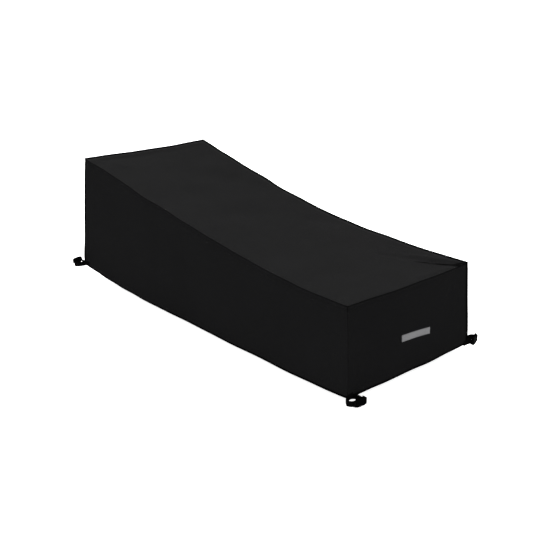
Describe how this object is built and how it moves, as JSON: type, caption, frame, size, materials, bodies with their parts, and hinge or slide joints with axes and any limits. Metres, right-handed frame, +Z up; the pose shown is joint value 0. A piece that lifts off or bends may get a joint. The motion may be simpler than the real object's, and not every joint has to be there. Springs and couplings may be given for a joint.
{
  "type": "lounge chair cover",
  "caption": "Fitted cloth cover shaped as a hollow shell with a high head end, a top sloping down to a low foot end, and a buckled webbing loop at each hem corner.",
  "frame": {"origin": "On the ground plane under the middle of the hem.", "axes": "X along the length, head end at -X and foot end at +X; the near side is -Y; +Z up."},
  "size_m": [2.0722, 0.9075, 0.6982],
  "materials": {
    "top_cloth": "coated woven polyester, matt",
    "side_cloth": "coated woven polyester, matt",
    "end_cloth": "coated woven polyester, matt",
    "webbing": "woven webbing",
    "buckle_plastic": "moulded, satin",
    "patch": "smooth woven tape"
  },
  "bodies": {
    "root": {"top_panel": "top_cloth", "side_panel_near": "side_cloth", "side_panel_far": "side_cloth", "head_panel": "end_cloth", "foot_panel": "end_cloth", "label_patch": "patch", "strap_short_foot_near": "webbing", "strap_short_foot_far": "webbing", "strap_short_head_near": "webbing", "strap_short_head_far": "webbing", "strap_long_foot_near": "webbing", "strap_long_foot_far": "webbing", "strap_long_head_near": "webbing", "strap_long_head_far": "webbing", "buckle_socket_foot_near": "buckle_plastic", "buckle_socket_foot_far": "buckle_plastic", "buckle_socket_head_near": "buckle_plastic", "buckle_socket_head_far": "buckle_plastic", "buckle_plug_foot_near": "buckle_plastic", "buckle_plug_foot_far": "buckle_plastic", "buckle_plug_head_near": "buckle_plastic", "buckle_plug_head_far": "buckle_plastic"}
  },
  "joints": []
}
